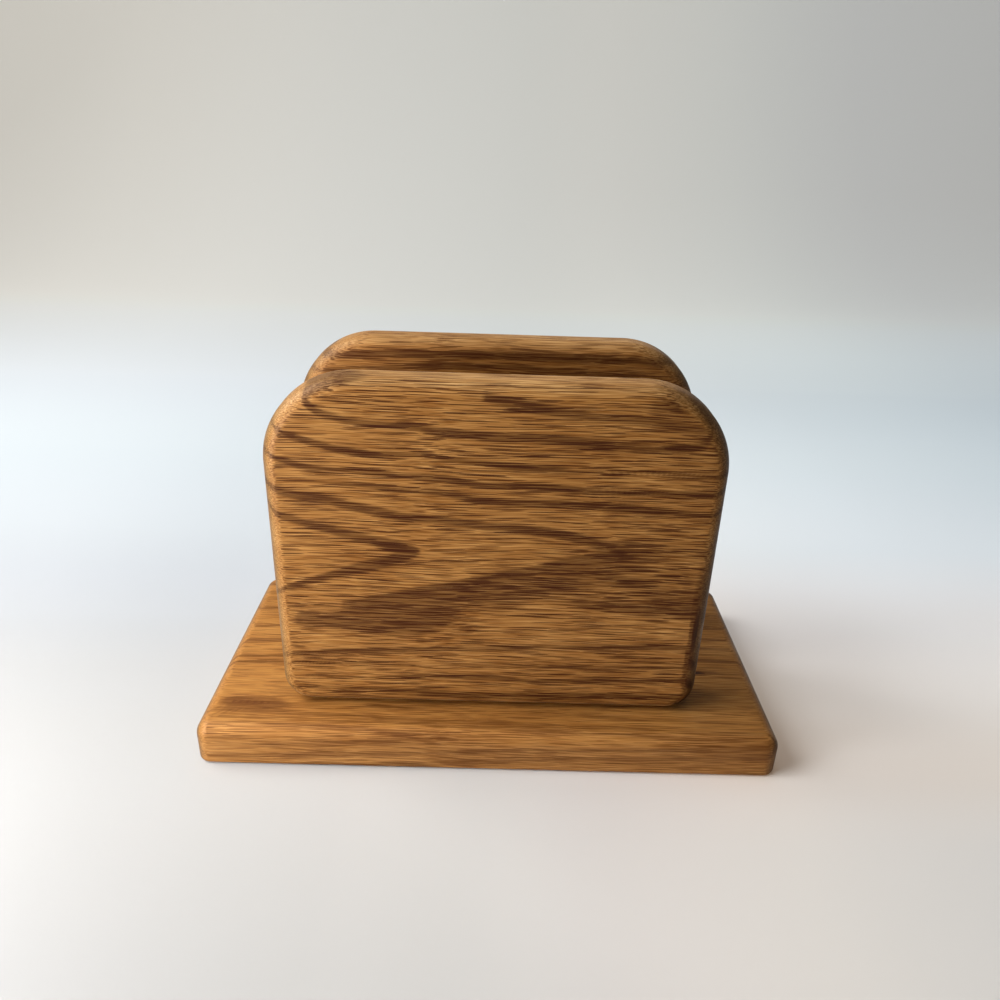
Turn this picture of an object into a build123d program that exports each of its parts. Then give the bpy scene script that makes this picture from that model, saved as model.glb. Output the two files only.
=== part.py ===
import os
from math import radians, tan

from build123d import *

# Napkin holder made of three oak boards: a base that lies flat on the table and
# two upright panels that hold a stack of folded napkins between them.
# Millimetres. X runs along the grain, Y from the front edge to the rear edge and
# Z up. The origin is the centre of the base's footprint, on the table.

# Base board.
base_width = 250.8
base_depth = 127.0
base_thickness = 19.05
base_corner_radius = 6.35
base_top_roundover = 6.35
base_bottom_roundover = 1.5

# Upright panels, two alike.
panel_width = 181.0
panel_height = 148.0
panel_thickness = 19.05
panel_top_radius = 35.0
panel_bottom_radius = 12.7
panel_roundover = 6.35

# Where the panels stand on the base.
front_margin = 18.1
slot_width = 45.0

# Flat-head wood screws, driven up through the base into each panel.
screws_per_panel = 2
screw_spacing = 100.0
screw_length = 38.1
screw_diameter = 4.17
screw_point_length = 6.0
screw_head_diameter = 8.4
screw_head_angle = 82.0
recess_width = 4.4
recess_floor_width = 2.2
recess_wing = 1.0
recess_depth = 1.6

# Fits of the screws in the boards.
head_depth = 0.8
shank_clearance = 0.25
pilot_clearance = 0.1
pilot_end_gap = 1.5

front_panel_y = -base_depth / 2 + front_margin + panel_thickness / 2
rear_panel_y = front_panel_y + panel_thickness + slot_width
head_slope = tan(radians(screw_head_angle / 2))


def screw_places(panel_y):
    """Axes of one panel's screws: a row along X, centred under the panel."""
    first = -screw_spacing * (screws_per_panel - 1) / 2
    return [(first + i * screw_spacing, panel_y) for i in range(screws_per_panel)]


def turned(points):
    """Solid of revolution about Z of a profile given as (radius, height) points."""
    profile = Polyline(*[(r, 0, z) for r, z in points], close=True)
    return revolve(make_face(profile), Axis.Z)


def countersunk_hole():
    """Cut in the base: an 82 degree sink open at the underside, then a plain hole."""
    hole_radius = screw_diameter / 2 + shank_clearance
    seat_radius = screw_head_diameter / 2
    mouth_radius = seat_radius + head_depth * head_slope
    throat_height = head_depth + (seat_radius - hole_radius) / head_slope
    overrun = 1.0
    return turned(
        [
            (0, -overrun),
            (mouth_radius + overrun * head_slope, -overrun),
            (hole_radius, throat_height),
            (hole_radius, base_thickness + overrun),
            (0, base_thickness + overrun),
        ]
    )


def pilot_hole():
    """Cut in a panel's bottom edge, drilled a little deeper than the screw reaches."""
    radius = screw_diameter / 2 + pilot_clearance
    end = head_depth + screw_length + pilot_end_gap
    overrun = 1.0
    return turned(
        [
            (0, base_thickness - overrun),
            (radius, base_thickness - overrun),
            (radius, end),
            (0, end),
        ]
    )


def base_board():
    """Flat board, rounded over along the top, with a sink for each screw below."""
    board = Box(
        base_width,
        base_depth,
        base_thickness,
        align=(Align.CENTER, Align.CENTER, Align.MIN),
    )
    board = fillet(board.edges().filter_by(Axis.Z), base_corner_radius)
    board = fillet(board.faces().sort_by(Axis.Z)[-1].edges(), base_top_roundover)
    board = fillet(board.faces().sort_by(Axis.Z)[0].edges(), base_bottom_roundover)
    for x, y in screw_places(front_panel_y) + screw_places(rear_panel_y):
        board -= Pos(x, y, 0) * countersunk_hole()
    return board


def panel_outline():
    """Front view of a panel: large top corners and small bottom corners."""
    outline = Pos(0, base_thickness + panel_height / 2) * Rectangle(panel_width, panel_height)
    outline = fillet(outline.vertices().group_by(Axis.Y)[0], panel_bottom_radius)
    return fillet(outline.vertices().group_by(Axis.Y)[-1], panel_top_radius)


def panel(panel_y):
    """Upright board standing on the base, rounded over round both faces."""
    face = Plane.XZ * panel_outline()
    board = extrude(face, amount=panel_thickness / 2, both=True)
    rims = board.faces().filter_by(Axis.Y).edges()
    board = Pos(0, panel_y, 0) * fillet(rims, panel_roundover)
    for x, y in screw_places(panel_y):
        board -= Pos(x, y, 0) * pilot_hole()
    return board


def cross_recess():
    """Driver recess in the head: two crossed wings that narrow as they go in."""
    side = Polyline(
        (-recess_width / 2, 0),
        (recess_width / 2, 0),
        (recess_floor_width / 2, recess_depth),
        (-recess_floor_width / 2, recess_depth),
        close=True,
    )
    wing = extrude(Plane.XZ * make_face(side), amount=recess_wing / 2, both=True)
    return wing + Rot(0, 0, 90) * wing


def wood_screw():
    """Screw standing on its flat head, point up, at full outer diameter."""
    head_radius = screw_head_diameter / 2
    shank_radius = screw_diameter / 2
    body = turned(
        [
            (0, 0),
            (head_radius, 0),
            (shank_radius, (head_radius - shank_radius) / head_slope),
            (shank_radius, screw_length - screw_point_length),
            (0, screw_length),
        ]
    )
    return body - cross_recess()


def panel_screws():
    """All the screws, each seated in its sink and reaching into its panel."""
    places = screw_places(front_panel_y) + screw_places(rear_panel_y)
    return Compound(children=[Pos(x, y, head_depth) * wood_screw() for x, y in places])


os.makedirs("parts", exist_ok=True)
export_step(base_board(), "parts/base_board.step")
export_step(panel(front_panel_y), "parts/front_panel.step")
export_step(panel(rear_panel_y), "parts/rear_panel.step")
export_step(panel_screws(), "parts/panel_screws.step")
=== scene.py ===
import math

import bmesh
import bpy
import numpy as np
from mathutils import Matrix, Vector


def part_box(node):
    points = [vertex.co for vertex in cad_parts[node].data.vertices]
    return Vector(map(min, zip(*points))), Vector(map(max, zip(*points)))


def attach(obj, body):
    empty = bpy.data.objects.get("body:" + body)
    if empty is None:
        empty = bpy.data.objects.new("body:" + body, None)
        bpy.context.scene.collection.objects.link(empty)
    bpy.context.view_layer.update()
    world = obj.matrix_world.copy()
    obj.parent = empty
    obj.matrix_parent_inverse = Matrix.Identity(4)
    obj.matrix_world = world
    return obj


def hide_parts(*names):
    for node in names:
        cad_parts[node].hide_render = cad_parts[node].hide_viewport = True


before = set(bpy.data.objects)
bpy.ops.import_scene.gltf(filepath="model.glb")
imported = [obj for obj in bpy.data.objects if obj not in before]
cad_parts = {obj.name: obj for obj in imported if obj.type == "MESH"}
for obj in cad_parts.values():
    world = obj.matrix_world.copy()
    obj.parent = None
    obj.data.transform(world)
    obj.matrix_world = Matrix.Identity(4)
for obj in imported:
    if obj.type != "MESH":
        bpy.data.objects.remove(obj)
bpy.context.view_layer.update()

# ---------------------------------------------------------------------------
# Base board
# A flat board of planed red oak, its grain along its length. The top edges are
# rounded over with a router, the lower ones eased with sandpaper, and the four
# screw holes drilled through and sunk from below. Stained and varnished satin.
# ---------------------------------------------------------------------------


def placed(name, data):
    """A new object in the scene, at the origin, that shows this mesh, lamp or camera."""
    made = bpy.data.objects.new(name, data)
    bpy.context.scene.collection.objects.link(made)
    return made


def smooth(mesh):
    mesh.polygons.foreach_set("use_smooth", np.ones(len(mesh.polygons), bool))


def rim(half_width, low, high, low_radius, high_radius, inset):
    """Closed outline of a board, walked anticlockwise: four quarter circles of
    low_radius (bottom two) and high_radius (top two), joined by straight sides.
    inset moves every point inwards by that much, at right angles to the outline;
    a corner whose radius is used up stays a sharp corner of the smaller outline."""
    spacing = 0.0014
    corners = (
        (1, low, low_radius, -90),
        (1, high, high_radius, 0),
        (-1, high, high_radius, 90),
        (-1, low, low_radius, 180),
    )
    arcs = []
    for side, level, radius, start in corners:
        upward = 1 if level == high else -1
        reach = max(radius, inset)
        turn = np.radians(start + np.linspace(0, 90, 2 + int(radius * math.pi / 2 / spacing)))
        centre = np.array([side * (half_width - reach), level - upward * reach])
        arcs.append(centre + (reach - inset) * np.stack([np.cos(turn), np.sin(turn)], 1))
    counts = (int((high - low) / spacing), int(2 * half_width / spacing)) * 2
    parts = []
    for arc, following, count in zip(arcs, arcs[1:] + arcs[:1], counts):
        share = np.linspace(0, 1, count)[1:-1, None]
        parts += [arc, arc[-1] * (1 - share) + following[0] * share]
    return np.concatenate(parts)


def spread(centre, edge, count):
    """Outlines between a centre point and the outline edge: each is edge drawn
    together towards the centre, by shares that rise evenly to one."""
    share = np.linspace(0, 1, count + 1)[1:-1, None, None]
    return list(centre + (edge - centre) * share)


def skin(name, loops, first, last):
    """Closed mesh over a stack of outlines of equal length, in order from the
    point first to the point last: squares between neighbours, and a fan of
    triangles at each end. Outlines run anticlockwise seen from outside first."""
    stack = np.array(loops)
    rows, around = stack.shape[:2]
    points = np.concatenate([stack.reshape(-1, 3), [first, last]])
    here, after = np.arange(around), np.roll(np.arange(around), -1)
    row = np.arange(rows - 1)[:, None] * around
    squares = np.stack([row + here, row + around + here, row + around + after, row + after], 2)
    top = np.stack([np.full(around, rows * around), here, after], 1)
    end = (rows - 1) * around
    bottom = np.stack([np.full(around, rows * around + 1), end + after, end + here], 1)
    faces = squares.reshape(-1, 4).tolist() + top.tolist() + bottom.tolist()
    mesh = bpy.data.meshes.new(name)
    mesh.from_pydata(points.tolist(), [], faces)
    return placed(name, mesh)


def carved(piece, cutter):
    """The mesh of piece with the closed piece cutter taken out of it, which is then
    used up."""
    cut = piece.modifiers.new("cut", "BOOLEAN")
    cut.object, cut.operation, cut.solver = cutter, "DIFFERENCE", "EXACT"
    view = bpy.context.evaluated_depsgraph_get()
    mesh = bpy.data.meshes.new_from_object(piece.evaluated_get(view))
    piece.modifiers.clear()
    bpy.data.objects.remove(cutter)
    return mesh


def porous_share(along, across, bands):
    """How porous the wood is at each point of a board's best face, from 0, dense
    late growth, to 1, open early growth. Each band of early growth is a line along
    the grain, given in mm as points (along, across, half width, strength). A point
    takes each band's strength times exp(-(distance from its line / 1.35 half
    widths)^1.7), and the bands add up as covers do: 1 - product of (1 - share). A
    strength above 1 marks a split or pocket that is packed black with stain."""
    reach, steepness = 1.35, 1.7
    dense = np.ones_like(along)
    for band in bands:
        x, y, half, strength = np.array(band, float).T
        x, y, half = x / 1000, y / 1000, half / 1000
        off = np.abs(across - np.interp(along, x, y)) / (reach * np.interp(along, x, half))
        fall = np.exp(-(off**steepness))
        dense *= 1 - np.interp(along, x, strength, left=0, right=0) * fall
    return 1 - dense


def mark_grain(piece, bands, across, depth, sanding_and_light_share, pith_level, pith_depth):
    """Writes the point attribute "grain", which the oak reads: x is the porous
    share, y the share of end grain, which is the square of the surface's slope
    towards the board's ends, and z is how far the edges are paled, partly by
    sanding and partly as painted light, which is the share given for the point
    where there is no end grain.
    The rings are arcs round a pith that lies pith_depth behind the best face, at
    pith_level across it. The ring through a point meets the face at pith_level plus
    or minus the root of (distance from the pith squared - pith_depth squared), and
    the point belongs to the band there. A ring that passes under the face comes
    out on it further towards -X, by the depth it passes at / ring_slope."""
    ring_slope = 0.12
    mesh = piece.data
    count = len(mesh.vertices)
    point, normal = np.empty(count * 3), np.empty(count * 3)
    mesh.vertices.foreach_get("co", point)
    mesh.vertex_normals.foreach_get("vector", normal)
    point, normal = point.reshape(-1, 3), normal.reshape(-1, 3)
    along = point[:, 0]
    away = across(point) - pith_level
    square = away**2 + (pith_depth - depth(point)) ** 2 - pith_depth**2
    level = np.sign(away) * np.sqrt(np.maximum(square, 0))
    slid = along + np.minimum(square, 0) / (2 * pith_depth * ring_slope)
    porous = porous_share(slid, pith_level + level, bands)
    end_grain = normal[:, 0] ** 2
    grain = np.stack([porous, end_grain, sanding_and_light_share(point) * (1 - end_grain)], 1)
    written = mesh.attributes.new("grain", "FLOAT_VECTOR", "POINT")
    written.data.foreach_set("vector", grain.astype(np.float32).ravel())


def adder(tree):
    """A function that adds a shader node to this tree. It takes the node's sockets by
    name or number, each with a value or with the output that feeds it."""

    def add(kind, sockets, **settings):
        node = tree.nodes.new("ShaderNode" + kind)
        for key, value in settings.items():
            setattr(node, key, value)
        for key, value in sockets.items():
            if isinstance(value, bpy.types.NodeSocket):
                tree.links.new(value, node.inputs[key])
            else:
                node.inputs[key].default_value = value
        return node

    return add


def empty_material(name):
    """A material without nodes, and the function that adds them."""
    material = bpy.data.materials.new(name)
    material.use_nodes = True
    material.node_tree.nodes.clear()
    return material, adder(material.node_tree)


def oak(name, clear, porous, pore, sanding_and_light, vivid, cut_from):
    """Red oak under stain and satin varnish. clear is the colour of dense late
    growth, porous that of open early growth and pore that of the open vessels.
    The factors given after pore make the edges that many times lighter in each
    colour: partly sanding, partly painted light, a painted sheen on the panels'
    roundovers and painted bounce light on the base's sides. vivid, from 0 to 1,
    is how strongly the stain brings out vessels and fibres.
    cut_from is the place in the log that the board comes from, in metres, so that
    no two boards have the same fibres. Fibres and vessels run along X."""
    # What fills the most open places, and how much darker end grain is in each colour; that
    # darkening is partly painted shade.
    packed, soaked_and_shaded = (0.012, 0.006, 0.003, 1), (0.37, 0.40, 0.45, 1)
    material, add = empty_material(name)

    def maths(operation, *values):
        return add("Math", dict(enumerate(values)), operation=operation).outputs[0]

    def blend(share, first, second, mode="MIX"):
        sockets = {0: share, 6: first, 7: second}
        return add("Mix", sockets, data_type="RGBA", blend_type=mode).outputs[2]

    def between(value, low, high, to_low, to_high, kind="LINEAR"):
        sockets = {0: value, 1: low, 2: high, 3: to_low, 4: to_high}
        return add("MapRange", sockets, interpolation_type=kind).outputs[0]

    def swing(noise, to_low, to_high, reach=0.25):
        """A noise, which hardly goes further than reach from a half, as a value that
        goes from to_low to to_high."""
        return between(noise, 0.5 - reach, 0.5 + reach, to_low, to_high)

    place = add("TexCoord", {}).outputs["Object"]
    place = add("Mapping", {"Vector": place, "Location": cut_from}).outputs[0]
    grain = add("Attribute", {}, attribute_name="grain").outputs["Vector"]
    early, end_grain, sanding_and_light_share = add("SeparateXYZ", {0: grain}).outputs

    # The fibres sway a little: a slow noise shifts them sideways, mostly by less
    # than a millimetre.
    sway = add("TexNoise", {"Vector": place, "Scale": 14.0, "Detail": 1.0}).outputs["Color"]
    sway = add("VectorMath", {0: sway, 1: (0.5, 0.5, 0.5)}, operation="SUBTRACT").outputs[0]
    sway = add("VectorMath", {0: sway, 1: (0.0, 0.003, 0.003)}, operation="MULTIPLY").outputs[0]
    fibre = add("VectorMath", {0: place, 1: sway}, operation="ADD").outputs[0]

    def stretched(scale):
        return add("Mapping", {"Vector": fibre, "Scale": scale}).outputs[0]

    def streaks(scale, detail, rough):
        sockets = {"Vector": stretched(scale), "Scale": 1.0, "Detail": detail, "Roughness": rough}
        return add("TexNoise", sockets).outputs[0]

    streak = streaks((45, 1700, 1700), 2.0, 0.6)
    hair = streaks((60, 2900, 2900), 1.0, 0.5)
    cloud = streaks((16, 70, 70), 2.0, 0.5)

    # Early growth has ragged edges, because it is made of streaks of vessels. The
    # stain spreads past the vessels, so its edges are less ragged.
    ragged = maths("ADD", swing(streak, -0.36, 0.36), swing(cloud, -0.10, 0.10, reach=0.2))
    ragged = maths("MULTIPLY", ragged, between(early, 0.0, 0.3, 0.35, 1.0))
    open_wood = between(maths("ADD", early, ragged), 0.12, 0.78, 0.0, 1.0, "SMOOTHSTEP")
    stained = maths("MULTIPLY_ADD", ragged, 0.55, early)
    stained = between(stained, 0.18, 0.58, 0.0, 0.80, "SMOOTHSTEP")

    # Vessels cut lengthwise are dashes, and dots on end grain, where the stain
    # hides them more: the cells of a stretched Voronoi pattern, wider and closer
    # in early growth.
    shown = between(end_grain, 0.0, 0.08, vivid, 0.2 * vivid)

    def vessels(scale, small, large, soft):
        cells = add("TexVoronoi", {"Vector": stretched(scale), "Scale": 1.0})
        size = between(open_wood, 0.0, 1.0, small, large)
        inside = maths("SUBTRACT", size, cells.outputs["Distance"])
        return maths("MULTIPLY", between(inside, 0.0, soft, 0.0, 1.0, "SMOOTHSTEP"), shown)

    large_vessels = vessels((34, 1800, 1800), 0.35, 0.45, 0.03)
    small_vessels = vessels((50, 2600, 2600), 0.33, 0.45, 0.08)

    # Where stain gathers the wood is darker and redder: the tone reaches green
    # and blue as a power of what it is in red.
    tone = swing(streak, 1 + 0.1 * vivid, 1 - 0.1 * vivid)
    tone = maths("MULTIPLY", tone, swing(cloud, 1.14, 0.86))
    tone = maths("MULTIPLY", swing(hair, 1 + 0.5 * vivid, 1 - 0.5 * vivid), tone)
    green, blue = (maths("POWER", tone, power) for power in (1.35, 1.9))
    tone = add("CombineColor", {0: tone, 1: green, 2: blue}).outputs[0]
    colour = blend(1.0, blend(stained, clear, porous), tone, "MULTIPLY")
    colour = blend(between(small_vessels, 0.0, 1.0, 0.0, 0.72), colour, pore)
    colour = blend(between(large_vessels, 0.0, 1.0, 0.0, 0.95), colour, pore)

    # The most open places are packed with stain. End grain drinks more of it, and
    # its darkening is partly painted shade on the ends turned from the light.
    # Sanded edges drink less, and their paling is partly painted light: a painted
    # sheen and painted bounce light.
    colour = blend(between(early, 0.85, 1.0, 0.0, 0.8), colour, pore)
    colour = blend(between(early, 1.0, 1.4, 0.0, 0.9), colour, packed)
    colour = blend(between(end_grain, 0.0, 0.65, 0.0, 1.0), colour, soaked_and_shaded, "MULTIPLY")
    colour = blend(sanding_and_light_share, colour, sanding_and_light, "MULTIPLY")

    # The varnish sinks a little over open vessels and is rougher there.
    open_pores = maths("MAXIMUM", large_vessels, small_vessels)
    height = maths("SUBTRACT", swing(streak, 0.0, 0.12, reach=0.2), open_pores)
    relief = add("Bump", {"Height": height, "Distance": 0.00008, "Strength": 0.55}).outputs[0]
    rough = swing(cloud, 0.40, 0.50, reach=0.2)
    rough = maths("ADD", rough, between(open_pores, 0.0, 1.0, 0.0, 0.25))
    sockets = {"Base Color": colour, "Roughness": rough, "Normal": relief}
    sockets |= {"Specular IOR Level": 0.11, "Coat Weight": 0.02, "Coat Roughness": 0.35}
    add("OutputMaterial", {"Surface": add("BsdfPrincipled", sockets).outputs[0]})
    return material


base_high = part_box("base_board")[1]
base_half_x, base_half_y, base_top = base_high.x, base_high.y, base_high.z
base_corner, base_roundover, base_easing = 0.00635, 0.00635, 0.0015
sink_radius, sink_slope, bore_radius = 0.004895, math.tan(math.radians(41)), 0.002335
front_y, rear_y = (
    sum(corner.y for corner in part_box(node)) / 2 for node in ("front_panel", "rear_panel")
)
screw_places = [(x, y) for y in (front_y, rear_y) for x in (-0.05, 0.05)]


def base_loops():
    """The base as flat outlines from its top face to its underside. Over the edge,
    the inset is R (1 - sin a) and the height is top - R (1 - cos a), for a from 0
    to 90 degrees; then a straight side; then the small lower rounding, where the
    inset is r (1 - cos a) and the height is r (1 - sin a)."""

    def at(inset, height):
        flat = rim(base_half_x, -base_half_y, base_half_y, base_corner, base_corner, inset)
        return np.column_stack([flat, np.full(len(flat), height)])

    over = [
        at(base_roundover * (1 - math.sin(a)), base_top - base_roundover * (1 - math.cos(a)))
        for a in np.radians(np.linspace(0, 90, 9))
    ]
    side = [at(0, z) for z in np.linspace(base_top - base_roundover, base_easing, 10)[1:]]
    lower = [
        at(base_easing * (1 - math.cos(a)), base_easing * (1 - math.sin(a)))
        for a in np.radians(np.linspace(0, 90, 6))[1:]
    ]
    top_face = spread(np.array([0, 0, base_top]), over[0], count=38)
    underside = spread(np.zeros(3), lower[-1], count=30)[::-1]
    return top_face + over + side + lower + underside


base = skin("base_board_oak", base_loops(), (0, 0, base_top), (0, 0, 0))


def bored(x, y):
    """Cutter for one screw hole, turned about an upright axis: a cone of 82 degrees
    open at the underside, then a plain bore out through the top. It reaches a
    millimetre beyond the board at both ends."""
    beyond, sides = 0.001, 48
    profile = (
        (sink_radius + beyond * sink_slope, -beyond),
        (bore_radius, (sink_radius - bore_radius) / sink_slope),
        (bore_radius, base_top + beyond),
    )
    turn = np.linspace(0, -2 * np.pi, sides + 1)[:-1]
    loops = [
        np.column_stack([x + r * np.cos(turn), y + r * np.sin(turn), np.full(sides, z)])
        for r, z in profile
    ]
    return skin("screw_hole", loops, (x, y, -beyond), (x, y, base_top + beyond))


for place in screw_places:
    base.data = carved(base, bored(*place))

# Bands of early growth on the top face, in mm: (X, Y, half width, strength).
base_bands = [
    # Long bands under and between the panels.
    [(-126, 38, 1.2, 0.42), (-60, 40, 1.2, 0.52), (20, 37, 1.2, 0.52), (126, 33, 1.2, 0.42)],
    [(-126, 29, 1.3, 0.52), (-40, 31, 1.3, 0.62), (40, 25, 1.3, 0.62), (126, 21, 1.3, 0.52)],
    [(-126, 13, 1.1, 0.52), (-97, 14, 1.1, 0.57), (0, 17, 1.3, 0.62), (100, 11.7, 1.1, 0.73),
     (126, 11, 1.1, 0.62)],
    [(-126, 0.5, 1.2, 0.73), (-97, 1.2, 1.2, 0.88), (0, 6, 1.3, 0.73), (98, 3.4, 1.3, 0.88),
     (126, 3, 1.2, 0.73)],
    [(-126, -12.5, 0.9, 0.62), (-97, -11.8, 0.9, 0.73), (0, -7, 1.1, 0.62), (98, -6.7, 1.2, 0.73),
     (126, -7, 1.2, 0.62)],
    # The one with a split that is packed black, at X 86 to 103, and its neighbour.
    [(-126, -17.2, 0.9, 0.73), (-97, -16.2, 0.9, 0.88), (0, -14, 1, 0.62), (86, -16.6, 1.3, 1.7),
     (99, -16.6, 1.3, 1.6), (103, -16.6, 1.2, 0.9), (106, -16.6, 1.2, 0.7), (112, -16.8, 0.8, 0.5),
     (126, -17, 0.8, 0.3)],
    [(-126, -22.5, 0.8, 0.42), (-97, -22, 0.8, 0.42), (0, -24, 1, 0.42), (126, -27, 1, 0.31)],
    # Towards the front edge; the first has a pocket packed black, at X -113 to -98.
    [(-120, -45.5, 1.8, 0.3), (-113, -45.6, 3, 1), (-98, -46, 3, 1), (-86, -47, 1.6, 0.31),
     (-66, -47, 1.2, 0.21), (-50, -46.8, 1.7, 0.62), (-36, -47, 1.5, 0.62), (-22, -47.5, 1, 0.16),
     (15, -48.5, 1.4, 0.31), (60, -50, 1.8, 0.47), (92, -51, 1.5, 0.42), (126, -52, 1, 0.21)],
    [(-126, -51, 1.2, 0.48), (-60, -53, 1.2, 0.56), (-10, -55.5, 1.2, 0.48), (60, -57, 1, 0.48),
     (126, -58.5, 1, 0.48)],
    [(-126, -55, 0.8, 0.48), (-60, -56.5, 0.8, 0.56), (0, -58.5, 0.8, 0.48),
     (126, -61, 0.8, 0.56)],
    [(-126, -58, 0.7, 0.4), (-20, -60.8, 0.7, 0.56), (60, -62.5, 0.6, 0.48),
     (126, -63.5, 0.6, 0.48)],
    [(-126, -61, 0.6, 0.48), (0, -63.2, 0.6, 0.48), (126, -65.5, 0.6, 0.4)],
    [(-126, -64.5, 1, 0.4), (0, -66.5, 1, 0.48), (126, -69, 1, 0.48)],
    # Along the rear edge.
    [(-126, 45, 1.2, 0.52), (0, 47, 1.2, 0.52), (126, 44, 1.2, 0.52)],
    [(-126, 54, 1.4, 0.62), (0, 56, 1.4, 0.52), (126, 55, 1.4, 0.62)],
]


def base_sanding_and_light(point):
    """How far the base's edges are paled: a half on the sides, falling to 0 over
    the top edge: (1 - inset / 6 mm) / 2. The paling is partly sanding and partly
    painted light: bounce light painted on the sides and a painted sheen on the top
    edge.
    """
    from_ends = base_half_x - np.abs(point[:, 0])
    from_sides = base_half_y - np.abs(point[:, 1])
    return 0.5 * np.clip(1 - np.minimum(from_ends, from_sides) / 0.006, 0, 1)


# The base's paled edges are partly sanding and partly painted light: painted bounce light on its
# sides.
mark_grain(
    base, base_bands, across=lambda p: p[:, 1], depth=lambda p: base_top - p[:, 2],
    sanding_and_light_share=base_sanding_and_light, pith_level=0.008, pith_depth=0.045,
)
base.data.materials.append(oak(
    "oak_base_board", clear=(0.346, 0.150, 0.034, 1), porous=(0.163, 0.062, 0.013, 1),
    pore=(0.085, 0.023, 0.003, 1), sanding_and_light=(1.38, 1.36, 1.6, 1), vivid=0.65,
    cut_from=(0.3, 0.1, 0.0),
))
smooth(base.data)
base.data.set_sharp_from_angle(angle=math.radians(35))
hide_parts("base_board")
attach(base, "root")

# ---------------------------------------------------------------------------
# Front panel
# An upright oak board glued and screwed to the base on its lower edge. It is
# sawn to its outline, large corners above and small ones below, and rounded
# over round both faces, so only a narrow flat is left between the roundovers.
# ---------------------------------------------------------------------------

panel_low, panel_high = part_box("front_panel")
panel_half_x, panel_foot, panel_top = panel_high.x, panel_low.z, panel_high.z
panel_half_thick = (panel_high.y - panel_low.y) / 2
panel_foot_radius, panel_top_radius, panel_roundover = 0.0127, 0.035, 0.00635


def panel_loops(middle):
    """The panel as upright outlines from its front face to its rear face. Over each
    edge the inset is R (1 - sin a) and the step back from the face R (1 - cos a),
    for a from 0 to 90 degrees, with a flat between the two roundovers."""

    def at(inset, y):
        flat = rim(
            panel_half_x, panel_foot, panel_top, panel_foot_radius, panel_top_radius, inset
        )
        return np.column_stack([flat[:, 0], np.full(len(flat), y), flat[:, 1]])

    def over(angle):
        back = panel_roundover * (1 - math.cos(angle))
        return at(panel_roundover * (1 - math.sin(angle)), middle - panel_half_thick + back)

    front = [over(angle) for angle in np.radians(np.linspace(0, 90, 10))]
    half_flat = panel_half_thick - panel_roundover
    edge = [at(0, middle + y) for y in np.linspace(-half_flat, half_flat, 6)[1:-1]]
    rear = [loop * (1, -1, 1) + (0, 2 * middle, 0) for loop in front][::-1]
    centre = np.array([0, 0, (panel_foot + panel_top) / 2])
    front_face = spread(centre + (0, middle - panel_half_thick, 0), front[0], count=52)
    rear_face = spread(centre + (0, middle + panel_half_thick, 0), rear[-1], count=52)[::-1]
    return front_face + front + edge + rear + rear_face


def panel_board(name, middle):
    """One panel, standing at that distance along Y."""
    height = (panel_foot + panel_top) / 2
    front_centre = (0, middle - panel_half_thick, height)
    rear_centre = (0, middle + panel_half_thick, height)
    return skin(name, panel_loops(middle), front_centre, rear_centre)


def panel_sanding_and_light(middle):
    """How far the panel's edges are paled, partly by sanding and partly as a painted
    sheen: 0.6 over the edge and most of each roundover, falling to 0 on the faces:
    0.6 times (9.5 mm - distance from the middle of the board) / 2 mm, at most 0.6."""

    def sanding_and_light_share(point):
        return 0.6 * np.clip((0.0095 - np.abs(point[:, 1] - middle)) / 0.002, 0, 1)

    return sanding_and_light_share


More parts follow.
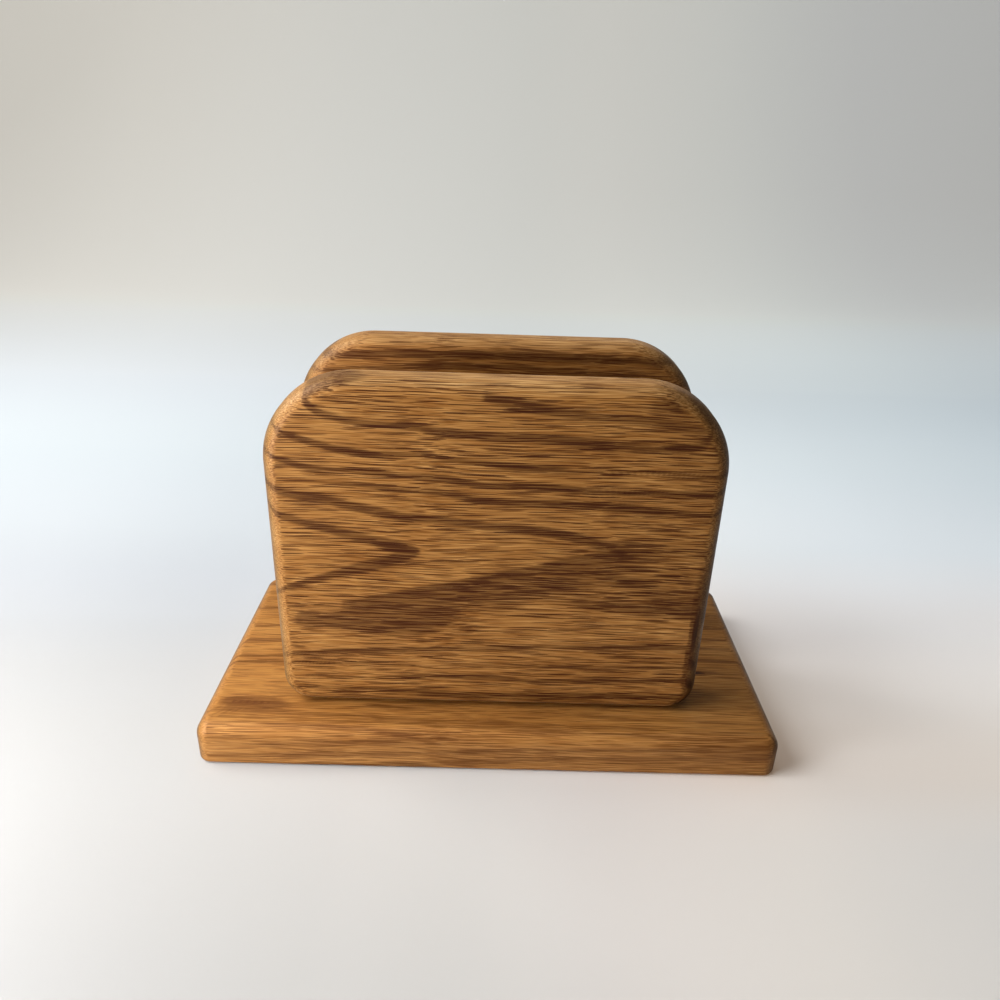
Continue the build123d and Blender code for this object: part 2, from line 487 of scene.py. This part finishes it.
# Bands of early growth on the front face, in mm: (X, Z, half width, strength).
front_bands = [
    # The band that curls up at both ends, and the short ones between it and the top edge.
    [(-73, 161, 1.5, 0), (-71.5, 158, 1.8, 0.8), (-68, 154.8, 1.5, 0.85), (-57, 151.5, 1.4, 0.75),
     (-44, 150, 1.4, 0.7), (-31, 149.5, 1.4, 0.8), (-22, 147.8, 1.5, 0.9), (-5, 146.5, 1.6, 0.9),
     (11, 146.8, 1.4, 0.8), (28, 145.4, 1.6, 0.95), (45, 144.3, 1.4, 0.9), (61, 143.4, 1.2, 0.7),
     (74, 144.3, 1.2, 0.7), (79, 147, 1.2, 0.7), (81, 150, 1.2, 0)],
    [(-73, 157, 1.2, 0), (-71.5, 160, 1.4, 0.8), (-68, 162.5, 1.2, 0.8), (-62, 164.5, 1.1, 0.7),
     (-52, 166, 1, 0.55), (-39, 167.5, 1, 0.3)],
    [(50, 168, 1, 0.1), (63, 166, 1, 0.4), (71, 162.5, 1, 0.5), (76, 158, 1, 0.55),
     (80, 153, 1, 0.6), (81.2, 149, 1, 0)],
    [(-9, 162.5, 1.4, 0), (-4, 161.5, 1.8, 0.7), (11, 158.6, 2.2, 0.75), (28, 156, 2, 0.7),
     (48, 154.7, 1.8, 0.6), (67, 153, 1.5, 0.45), (76, 152.5, 1.3, 0)],
    [(52, 160, 1, 0), (58, 160.5, 1.2, 0.5), (66, 160, 1.4, 0.6), (71, 157.5, 1.2, 0)],
    # Long bands across the upper half.
    [(-88, 149, 1.2, 0.4), (-83.7, 147.2, 1.3, 0.6), (-73.5, 143.5, 1.3, 0.7),
     (-60.6, 139.8, 1.4, 0.85), (-47.6, 138, 1.4, 0.8), (-31, 138.7, 1.2, 0.6),
     (-14.4, 136.7, 1.2, 0.7), (4, 134.9, 1.3, 0.95), (19, 134.3, 1.3, 0.95),
     (30, 133.6, 1.1, 0.5), (74, 133.2, 1, 0.55), (92, 132, 1, 0.4)],
    [(-92, 138, 1.2, 0.5), (-81, 134.5, 1.3, 0.75), (-71.7, 131.7, 1.3, 0.75),
     (-55, 131.3, 1.2, 0.7), (-36.5, 129.8, 1.2, 0.7), (-20, 128.7, 1.3, 0.9),
     (-3, 126.5, 1.3, 0.8), (19, 126.3, 1.2, 0.75), (46, 125, 1.2, 0.8), (74, 125.4, 1.2, 0.75),
     (92, 125, 1.2, 0.6)],
    [(-92, 130, 1.2, 0.3), (-68, 126.5, 1.2, 0.45), (-44, 124.2, 1.2, 0.6), (-22, 123, 1.2, 0.65),
     (-8.8, 120.3, 1.3, 0.85), (4, 119.2, 1.4, 0.85), (28, 119.8, 1.4, 0.85),
     (48, 118.6, 1.4, 0.85), (74, 116.6, 1.3, 0.65), (92, 115.5, 1.3, 0.5)],
    # The outer arch, its tip at X 57, and the broad shade under it.
    [(-92, 124, 1.4, 0.6), (-83, 121.4, 1.5, 0.8), (-64, 118, 1.6, 0.85), (-51, 115, 1.7, 0.9),
     (-36.5, 112, 1.6, 0.85), (-18, 110.8, 1.3, 0.8), (-3, 108.6, 1.4, 0.9), (11, 108.2, 1.5, 0.8),
     (26, 106.4, 1.7, 0.85), (37, 103.6, 1.8, 0.85), (45, 100.6, 1.8, 0.9), (52, 98.5, 2, 0.9),
     (57, 98, 1.6, 0)],
    [(-62, 70.5, 1.5, 0.2), (-46, 74, 1.5, 0.7), (-27, 78.6, 1.7, 0.85), (-9, 82.4, 1.8, 0.9),
     (11, 87.8, 1.7, 0.85), (28, 93.2, 1.6, 0.85), (45, 97, 1.8, 0.9), (52, 98, 1.8, 0.9),
     (57, 98.4, 1.5, 0)],
    [(-60, 69, 3.5, 0), (-50, 70, 4, 0.3), (-37, 71, 5.5, 0.5), (-25, 73, 6.5, 0.6),
     (-9, 76, 6.5, 0.62), (8, 79, 7, 0.62), (25, 84, 7, 0.6), (41, 89, 7, 0.55), (58, 86, 8, 0.45),
     (75, 80, 9, 0.4), (92, 78, 9, 0.4)],
    # Broad faint clouds on the right.
    [(48, 158, 5, 0), (60, 157, 7, 0.25), (78, 151, 8, 0.3), (92, 146, 8, 0.35)],
    [(50, 141, 5, 0), (70, 139, 7, 0.25), (92, 138, 8, 0.3)],
    [(20, 75, 3, 0), (35, 74.5, 3, 0.4), (51, 73, 3.5, 0.5), (75, 71.5, 3.5, 0.5),
     (92, 70, 3, 0.4)],
    [(44, 101, 4, 0), (54, 100, 6, 0.4), (68, 100, 7, 0.35), (92, 98, 7, 0.35)],
    # The inner arch, its tip at X -28.
    [(-92, 114, 1.4, 0.5), (-84.6, 111.2, 1.5, 0.75), (-73.5, 107.5, 1.6, 0.85),
     (-58.7, 103.8, 1.8, 0.85), (-47.6, 101, 1.9, 0.9), (-38, 98.5, 2, 0.9), (-32.9, 97, 1.8, 0.8),
     (-28, 96.5, 1.4, 0)],
    [(-92, 76, 1.3, 0.4), (-83.7, 78.2, 1.4, 0.7), (-77, 80.8, 1.5, 0.75), (-64, 85.3, 1.6, 0.8),
     (-47.6, 90.3, 2, 0.9), (-36.5, 94.6, 2.2, 0.9), (-28, 96.5, 1.5, 0)],
    # Dark patches at the lower left.
    [(-86, 63, 3, 0), (-80, 63.5, 3.8, 0.75), (-67, 62.5, 4.2, 0.75), (-54, 61, 4.2, 0.7),
     (-42, 59.5, 4, 0.7), (-30, 59.5, 3.6, 0.55), (-20, 62, 3.4, 0.35), (-9, 64.5, 3, 0)],
    [(-70, 69, 3, 0), (-58, 69, 3.2, 0.35), (-46, 69.5, 3.4, 0.5), (-34, 68.5, 3.4, 0.5),
     (-22, 67, 3.4, 0.35), (-12, 67, 3, 0)],
    # Long bands across the foot.
    [(-92, 44, 1.3, 0.42), (-81, 45.6, 1.3, 0.55), (-64, 47.4, 1.4, 0.64),
     (-36.5, 48.6, 1.4, 0.68), (-9, 50.2, 1.3, 0.59), (11, 51.6, 1.3, 0.68), (37, 52.4, 1.3, 0.59),
     (60, 52.8, 1.3, 0.68), (82, 53.5, 1.4, 0.68), (92, 54, 1.4, 0.59)],
    [(-92, 39.5, 1.2, 0.34), (-73, 41, 1.2, 0.47), (-17, 41.3, 1.3, 0.42), (25, 42, 1.3, 0.42),
     (92, 43, 1.3, 0.47)],
    [(-92, 33, 1.5, 0.34), (-55, 33.5, 1.5, 0.47), (-36, 34.8, 1.5, 0.55), (0, 35.8, 1.6, 0.59),
     (16, 34, 1.5, 0.51), (37, 34.6, 1.5, 0.59), (74, 36.2, 1.5, 0.55), (92, 37, 1.5, 0.42)],
    [(-92, 27.5, 1.4, 0.42), (-55, 28, 1.4, 0.55), (-30, 26.4, 1.5, 0.64), (-9, 25.3, 1.5, 0.59),
     (22, 26.2, 1.6, 0.72), (46, 27.1, 1.6, 0.77), (74, 27, 1.5, 0.64), (92, 27.5, 1.5, 0.51)],
    # Dark places round the right edge: end grain, and painted shade on the side turned from the
    # window.
    [(82, 49, 3, 0), (85, 47, 4, 1.0), (87.5, 45, 4, 1.1), (90, 44, 3, 0.6)],
    [(82, 37, 3, 0), (85.5, 35, 4, 1.1), (88, 33.5, 4, 1.15), (90.2, 33, 3, 0.4)],
    [(79, 22, 2, 0), (84, 23.5, 3, 1.1), (88, 26, 4, 1.35), (90.4, 28, 4, 0.8)],
    [(82.8, 62, 15, 0), (84.8, 62, 17, 1.15), (86.6, 62, 17, 1.15), (89, 63, 14, 0)],
]

front = panel_board("front_panel_oak", front_y)
# The panel's paled edges are partly sanding and partly a painted sheen on its roundovers.
mark_grain(
    front, front_bands, across=lambda p: p[:, 2], depth=lambda p: p[:, 1] - panel_low.y,
    sanding_and_light_share=panel_sanding_and_light(front_y), pith_level=0.097, pith_depth=0.022,
)
front.data.materials.append(oak(
    "oak_front_panel", clear=(0.376, 0.160, 0.037, 1), porous=(0.142, 0.054, 0.011, 1),
    pore=(0.050, 0.010, 0.001, 1), sanding_and_light=(1.2, 1.6, 2.5, 1), vivid=1.0,
    cut_from=(0.0, 0.0, 0.0),
))
smooth(front.data)
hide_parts("front_panel")
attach(front, "root")

# ---------------------------------------------------------------------------
# Rear panel
# The same board again behind the slot, cut from another part of the plank: its
# rings open the other way. Fixed to the base as the front panel is.
# ---------------------------------------------------------------------------

# Bands of early growth on the face towards the slot, in mm, as on the front panel.
rear_bands = [
    # Long bands across the upper half.
    [(-92, 156, 1.4, 0.4), (-60, 159.5, 1.5, 0.75), (0, 160.8, 1.5, 0.8), (60, 160.2, 1.5, 0.75),
     (92, 157, 1.4, 0.4)],
    [(-92, 150, 1.3, 0.4), (-45, 154.5, 1.3, 0.6), (-10, 155.8, 1.3, 0.7), (40, 155, 1.3, 0.45),
     (92, 152, 1.3, 0.4)],
    [(-92, 145, 1.3, 0.4), (-30, 149.5, 1.3, 0.45), (8, 151.8, 1.4, 0.7), (48, 152, 1.5, 0.8),
     (92, 148, 1.3, 0.4)],
    [(-92, 136, 1.3, 0.5), (-20, 143, 1.4, 0.7), (40, 145, 1.3, 0.6), (92, 143, 1.3, 0.5)],
    [(-92, 127, 1.3, 0.5), (-30, 134, 1.4, 0.6), (30, 137.5, 1.4, 0.7), (92, 136, 1.3, 0.5)],
    [(-92, 116, 1.4, 0.6), (-40, 124, 1.4, 0.7), (20, 130, 1.5, 0.7), (92, 128.5, 1.4, 0.6)],
    [(-92, 104, 1.4, 0.6), (-50, 111, 1.5, 0.7), (0, 119, 1.5, 0.8), (50, 121, 1.4, 0.7),
     (92, 120, 1.4, 0.6)],
    # The outer arch, its tip at X -62.
    [(-62, 92, 1.4, 0), (-54, 95, 1.6, 0.8), (-30, 101, 1.6, 0.8), (0, 107, 1.5, 0.85),
     (40, 111, 1.4, 0.7), (92, 112, 1.4, 0.6)],
    [(-62, 92, 1.4, 0), (-54, 88, 1.6, 0.8), (-30, 82, 1.6, 0.8), (10, 76, 1.5, 0.8),
     (50, 70, 1.4, 0.7), (92, 66, 1.4, 0.6)],
    # The inner arch, its tip at X 8.
    [(8, 92, 1.4, 0), (16, 94.5, 1.6, 0.8), (40, 99, 1.6, 0.8), (92, 104, 1.5, 0.7)],
    [(8, 92, 1.4, 0), (16, 89, 1.6, 0.8), (40, 84, 1.6, 0.8), (92, 77, 1.5, 0.7)],
    # Long bands across the lower half.
    [(-92, 79, 1.4, 0.6), (-50, 73, 1.5, 0.7), (0, 66, 3, 0.6), (40, 60, 3, 0.6),
     (92, 57, 1.4, 0.5)],
    [(-92, 66, 1.4, 0.5), (-30, 60, 1.4, 0.7), (30, 52, 1.4, 0.6), (92, 49, 1.4, 0.6)],
    [(-92, 54, 1.3, 0.5), (-20, 49, 1.3, 0.6), (50, 43, 1.3, 0.5), (92, 42, 1.3, 0.5)],
    [(-92, 43, 1.3, 0.5), (0, 39, 1.3, 0.6), (92, 34, 1.3, 0.5)],
    [(-92, 33, 1.3, 0.5), (0, 30, 1.3, 0.5), (92, 26, 1.3, 0.6)],
]

rear_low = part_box("rear_panel")[0]
rear = panel_board("rear_panel_oak", rear_y)
# As on the front panel, the paled edges are partly sanding and partly a painted sheen.
mark_grain(
    rear, rear_bands, across=lambda p: p[:, 2], depth=lambda p: p[:, 1] - rear_low.y,
    sanding_and_light_share=panel_sanding_and_light(rear_y), pith_level=0.092, pith_depth=0.026,
)
rear.data.materials.append(oak(
    "oak_rear_panel", clear=(0.345, 0.144, 0.033, 1), porous=(0.132, 0.050, 0.011, 1),
    pore=(0.064, 0.014, 0.001, 1), sanding_and_light=(1.2, 1.6, 2.5, 1), vivid=0.9,
    cut_from=(-0.4, 0.25, 0.2),
))
smooth(rear.data)
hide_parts("rear_panel")
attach(rear, "root")

# ---------------------------------------------------------------------------
# Wood screws
# Four flat-head screws of zinc-plated steel, two under each panel, driven up
# through the base. Each has a cross recess, a plain shank and a rolled thread.
# ---------------------------------------------------------------------------

# Heights above the table: the head's flat face, the cone's end, where the point
# starts and where it ends.
screw_face, screw_neck, screw_taper, screw_tip = 0.0008, 0.003233, 0.0329, 0.0389
head_radius, shank_radius, root_radius = 0.0042, 0.002085, 0.00145
thread_start, thread_pitch = 0.0135, 0.0028


def screw_loops():
    """A screw as flat outlines from its tip to its head. The radius is the root's
    plus the thread's height times a ridge, max(0, 1 - |p| / 0.3), where p is the
    distance in turns from the helix height / pitch - angle / one turn. The thread
    grows out over its first third of a turn, and everything narrows evenly to
    the tip."""
    sides = 40
    turn = np.linspace(0, 2 * np.pi, sides + 1)[:-1]
    height = np.linspace(screw_tip, thread_start, 170)[1:, None]
    phase = height / thread_pitch - turn / (2 * np.pi)
    ridge = np.maximum(0, 1 - np.abs(phase - np.round(phase)) / 0.3)
    grown = np.clip((height - thread_start) / thread_pitch, 0, 1)
    core = root_radius + (shank_radius - root_radius) * (1 - np.clip(grown * 3, 0, 1))
    narrow = np.clip((screw_tip - height) / (screw_tip - screw_taper), 0, 1)
    radius = (core + (shank_radius - core) * ridge) * narrow
    # The plain shank, the head's cone, its thin rim, and its flat face as far as the recess.
    plain = [
        (shank_radius, thread_start - 0.0001),
        (shank_radius, screw_neck),
        (head_radius - 0.00012, screw_face + 0.00022),
        (head_radius, screw_face + 0.00012),
        (head_radius - 0.00008, screw_face),
        (0.0031, screw_face),
    ]
    radius = np.concatenate([radius, [np.full(sides, r) for r, _ in plain]])
    height = np.broadcast_to(np.concatenate([height, [[z] for _, z in plain]]), radius.shape)
    return np.stack([radius * np.cos(turn), radius * np.sin(turn), height], 2)


def cross(reach, height):
    """Outline of two crossed wings 1 mm wide, each reaching that far both ways."""
    wing = 0.0005
    quarter = np.array([(reach, -wing), (reach, wing), (wing, wing)])
    turns = ((1, 0), (0, 1), (-1, 0), (0, -1))
    corners = np.concatenate([quarter @ np.array([(c, s), (-s, c)]) for c, s in turns])
    return np.column_stack([corners, np.full(len(corners), height)])


screw = skin("wood_screw", list(screw_loops()), (0, 0, screw_tip), (0, 0, screw_face))
recess_floor, recess_mouth = screw_face + 0.0016, screw_face - 0.0002
wings = [cross(0.0011, recess_floor), cross(0.00234, recess_mouth)]
driver = skin("driver_recess", wings, (0, 0, recess_floor), (0, 0, recess_mouth))
punched = carved(screw, driver)
bpy.data.objects.remove(screw)

gathered, came_to_rest = bmesh.new(), (0.35, 1.1, 0.8, 0.1)
for (x, y), turned in zip(screw_places, came_to_rest):
    driven = punched.copy()
    driven.transform(Matrix.Translation((x, y, 0)) @ Matrix.Rotation(turned, 4, "Z"))
    gathered.from_mesh(driven)
screws_mesh = bpy.data.meshes.new("wood_screws_zinc")
gathered.to_mesh(screws_mesh)
gathered.free()
screws = placed("wood_screws_zinc", screws_mesh)


def zinc_plate():
    """Bright zinc over steel: slightly blotched in colour and sheen, with the fine
    rings that heading and rolling leave round the screw."""
    material, add = empty_material("zinc_plate")
    place = add("TexCoord", {}).outputs["Object"]
    blotch = add("TexNoise", {"Vector": place, "Scale": 700, "Detail": 3}).outputs[0]
    shade = add("ValToRGB", {0: blotch})
    dull, bright = shade.color_ramp.elements
    dull.position, dull.color = 0.35, (0.50, 0.50, 0.48, 1)
    bright.position, bright.color = 0.65, (0.68, 0.68, 0.67, 1)
    smoothest, roughest = 0.24, 0.46
    sheen = add("MapRange", {0: blotch, 3: smoothest, 4: roughest}).outputs[0]
    squeezed = add("Mapping", {"Vector": place, "Scale": (300, 300, 9000)}).outputs[0]
    rings = add("TexNoise", {"Vector": squeezed, "Scale": 1}).outputs[0]
    relief = add("Bump", {"Height": rings, "Distance": 0.00002, "Strength": 0.4}).outputs[0]
    sockets = {"Base Color": shade.outputs[0], "Roughness": sheen, "Normal": relief}
    surface = add("BsdfPrincipled", sockets | {"Metallic": 1.0})
    add("OutputMaterial", {"Surface": surface.outputs[0]})
    return material


screws_mesh.materials.append(zinc_plate())
smooth(screws_mesh)
screws_mesh.set_sharp_from_angle(angle=math.radians(40))
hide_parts("panel_screws")
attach(screws, "root")

# ---------------------------------------------------------------------------
# Table and backdrop
# A pale seamless sweep: flat under the holder, then curving up behind it.
# ---------------------------------------------------------------------------


def sweep_sheet():
    """A profile carried along X: flat, then a quarter circle of 0.6 m, then upright."""
    half_width, front, bend, radius, top = 2.5, -2.5, 0.9, 0.6, 2.5
    turn = np.radians(np.linspace(0, 90, 25))[1:]
    y = np.concatenate([[front, bend], bend + radius * np.sin(turn), [bend + radius]])
    z = np.concatenate([[0, 0], radius - radius * np.cos(turn), [top]])
    x = np.array([[-half_width], [half_width]])
    points = np.stack(np.broadcast_arrays(x, y, z), 2).reshape(-1, 3)
    here, row = np.arange(len(y) - 1), len(y)
    faces = np.stack([here, here + row, here + row + 1, here + 1], 1)
    mesh = bpy.data.meshes.new("sweep")
    mesh.from_pydata(points.tolist(), [], faces.tolist())
    smooth(mesh)
    return mesh


sweep = placed("sweep", sweep_sheet())


def to_the_eye(add):
    """1 for rays that the camera sends out, straight, mirrored or through something
    clear, and 0 for those that gather light."""
    rays = add("LightPath", {})
    seen = rays.outputs["Is Camera Ray"]
    for kind in ("Is Glossy Ray", "Is Transmission Ray"):
        seen = add("Math", {0: seen, 1: rays.outputs[kind]}, operation="MAXIMUM").outputs[0]
    return seen


def matt_paper():
    """Pale matt paper whose shade drifts from left to right and from front to back.
    Some of its brightness, most of all on the backdrop, is there for the camera
    and for reflections only, so that it lights nothing; next to the holder on the
    right that brightness is painted bounce light in the holder's shadow."""
    material, add = empty_material("matt_paper")
    parts = add("SeparateXYZ", {0: add("TexCoord", {}).outputs["Object"]})

    def grey(level):
        return (level, level, level)

    def ramp(axis, low, high, *stops):
        """A colour that goes smoothly from stop to stop, each at its share of the way
        from low to high along an axis."""
        share = add("MapRange", {0: parts.outputs[axis], 1: low, 2: high}).outputs[0]
        colours = add("ValToRGB", {0: share})
        colours.color_ramp.interpolation = "CARDINAL"
        while len(colours.color_ramp.elements) < len(stops):
            colours.color_ramp.elements.new(0.5)
        for element, (at, colour) in zip(colours.color_ramp.elements, stops):
            element.position, element.color = at, (*colour, 1)
        return colours.outputs[0]

    def together(first, second, mode):
        sockets = {0: 1.0, 6: first, 7: second}
        return add("Mix", sockets, data_type="RGBA", blend_type=mode).outputs[2]

    # What the paper reflects: darker on the left near the holder, even far away.
    sideways = ramp(
        "X", -0.30, 0.30,
        (0, grey(0.41)), (0.24, grey(0.40)), (0.40, grey(0.495)), (0.50, grey(0.60)),
        (0.60, (0.72, 0.71, 0.71)), (0.74, grey(0.76)), (0.9, grey(0.80)),
    )
    near = ramp("Y", 0.10, 0.50, (0, grey(1)), (1, grey(0)))
    far_shade = ramp("Y", 0.10, 0.50, (0, grey(0)), (1, grey(0.58)))
    away = ramp(
        "Y", -0.16, 0.54,
        (0, (0.83, 0.80, 0.755)), (0.1, (0.935, 0.905, 0.86)), (0.2, (0.985, 0.965, 0.935)),
        (0.44, (0.98, 1.0, 1.03)), (0.64, (0.95, 1.0, 1.07)), (1, (0.92, 0.96, 0.99)),
    )
    sideways = together(together(sideways, near, "MULTIPLY"), far_shade, "ADD")
    colour = together(sideways, away, "MULTIPLY")

    # What it shows on top of that: next to the holder on the right, painted bounce light that
    # lightens and warms the holder's shadow; then further back.
    painted_bounce_glow = ramp(
        "X", -0.30, 0.30,
        (0, grey(0)), (0.5, grey(0)), (0.6, (0.045, 0.025, 0.01)), (0.69, (0.19, 0.14, 0.095)),
        (0.76, (0.20, 0.155, 0.12)), (0.9, (0.20, 0.17, 0.145)),
    )
    painted_bounce_tint = ramp(
        "Y", -0.13, 0.15,
        (0, (0.42, 0.48, 0.54)), (0.13, (0.52, 0.53, 0.54)), (0.25, (0.66, 0.52, 0.36)),
        (0.46, grey(1)), (0.7, (1, 1, 1.05)), (1, (0.6, 0.8, 1)),
    )
    painted_bounce_glow = together(together(painted_bounce_glow, painted_bounce_tint, "MULTIPLY"), near, "MULTIPLY")
    middle_glow = ramp(
        "X", -0.4, 0.6,
        (0.1, grey(0)), (0.4, (0.02, 0.03, 0.03)), (0.56, (0.08, 0.10, 0.10)),
        (0.73, (0.11, 0.14, 0.145)), (1, (0.10, 0.13, 0.14)),
    )
    middle = ramp("Y", 0.2, 1.3, (0, grey(0)), (0.29, grey(1)), (0.68, grey(0.55)), (1, grey(0.15)))
    far_glow = ramp(
        "X", -0.7, 0.7,
        (0, (0.49, 0.46, 0.40)), (0.25, (0.43, 0.41, 0.36)), (0.5, (0.365, 0.35, 0.305)),
        (0.66, (0.345, 0.325, 0.28)), (0.83, (0.31, 0.30, 0.265)), (1, (0.275, 0.265, 0.245)),
    )
    far = ramp(
        "Y", 0.0, 1.1,
        (0, grey(0)), (0.045, (0.06, 0.11, 0.19)), (0.14, (0.31, 0.41, 0.57)),
        (0.27, (0.43, 0.54, 0.72)), (0.47, (0.58, 0.65, 0.77)), (0.87, (1.04, 1.06, 1.08)),
        (1, grey(1)),
    )
    glow = together(painted_bounce_glow, together(far_glow, far, "MULTIPLY"), "ADD")
    glow = together(glow, together(middle_glow, middle, "MULTIPLY"), "ADD")

    # The flat part also shows pale far out to the sides and behind the camera.
    beside = ramp(
        "X", -1.5, 1.5, (0, grey(0.55)), (0.32, grey(0)), (0.68, grey(0)), (1, grey(0.55))
    )
    flat_part = ramp("Y", 0.1, 0.4, (0, grey(1)), (1, grey(0)))
    behind = ramp("Y", -1.6, -0.35, (0, grey(0.62)), (1, grey(0)))
    glow = together(glow, together(beside, flat_part, "MULTIPLY"), "ADD")
    glow = together(glow, behind, "LIGHTEN")

    sockets = {"Base Color": colour, "Roughness": 0.75, "Emission Color": glow}
    surface = add("BsdfPrincipled", sockets | {"Emission Strength": to_the_eye(add)})
    add("OutputMaterial", {"Surface": surface.outputs[0]})
    return material


sweep.data.materials.append(matt_paper())

# ---------------------------------------------------------------------------
# Light
# A tall window close by on the left, whose sill throws some light back up, and
# the soft light of the room from above.
# ---------------------------------------------------------------------------


def soft_light(name, place, size, power, colour):
    """A square soft light at place, facing the lower half of the holder."""
    data = bpy.data.lights.new(name, "AREA")
    data.shape, data.size, data.energy, data.color = "SQUARE", size, power, colour
    light = placed(name, data)
    back = (Vector(place) - Vector((0, 0, 0.05))).normalized()
    facing = back.to_track_quat("Z", "Y").to_matrix().to_4x4()
    light.matrix_world = Matrix.Translation(place) @ facing
    light.visible_camera = False


daylight, sky_light, room_light = (1.0, 0.985, 0.96), (0.94, 0.985, 1.06), (0.96, 0.98, 1.0)
soft_light("window", (-0.62, -0.20, 0.62), 0.55, 4.0, daylight)
soft_light("upper_window", (-0.70, 0.10, 0.70), 0.60, 7.5, daylight)
soft_light("near_window", (-0.31, -0.12, 0.29), 0.22, 0.58, sky_light)
soft_light("window_sill", (-0.30, -0.22, 0.10), 0.12, 0.64, sky_light)
soft_light("sill_edge", (-0.34, -0.30, 0.10), 0.12, 0.44, sky_light)
soft_light("ceiling", (0.0, 0.25, 1.30), 1.2, 3.4, room_light)


def room_air():
    """Very dim for what it lights, but pale for the camera and for reflections."""
    world = bpy.data.worlds.new("room_air")
    world.use_nodes = True
    tree = world.node_tree
    add = adder(tree)
    dim, pale = 0.05, 0.62
    strength = add("MapRange", {0: to_the_eye(add), 3: dim, 4: pale}).outputs[0]
    air = tree.nodes["Background"]
    tree.links.new(strength, air.inputs["Strength"])
    air.inputs["Color"].default_value = (0.97, 0.98, 1.0, 1)
    return world


bpy.context.scene.world = room_air()

# ---------------------------------------------------------------------------
# Camera
# Held 0.33 m in front of the holder's middle, 85 mm higher than its panels, and
# looking down at it.
# ---------------------------------------------------------------------------


def aim(place, down, aside, roll):
    """Camera matrix from its place and its pitch down, yaw to the right and roll,
    in radians."""
    forward = np.array([
        math.sin(aside) * math.cos(down), math.cos(aside) * math.cos(down), -math.sin(down)
    ])
    level = np.array([math.cos(aside), -math.sin(aside), 0])
    upward = np.cross(level, forward)
    matrix = np.eye(4)
    matrix[:3, 0] = math.cos(roll) * level + math.sin(roll) * upward
    matrix[:3, 1] = -math.sin(roll) * level + math.cos(roll) * upward
    matrix[:3, 2] = -forward
    matrix[:3, 3] = place
    return Matrix(matrix.tolist())


lens = bpy.data.cameras.new("camera")
lens.sensor_fit, lens.sensor_width, lens.lens = "HORIZONTAL", 36, 28.7742
camera = placed("camera", lens)
camera.matrix_world = aim(
    (-0.00145, -0.32694, 0.25235), down=0.437754, aside=0.011368, roll=0.03319
)
bpy.context.scene.camera = camera
bpy.context.scene.view_settings.view_transform = "Standard"
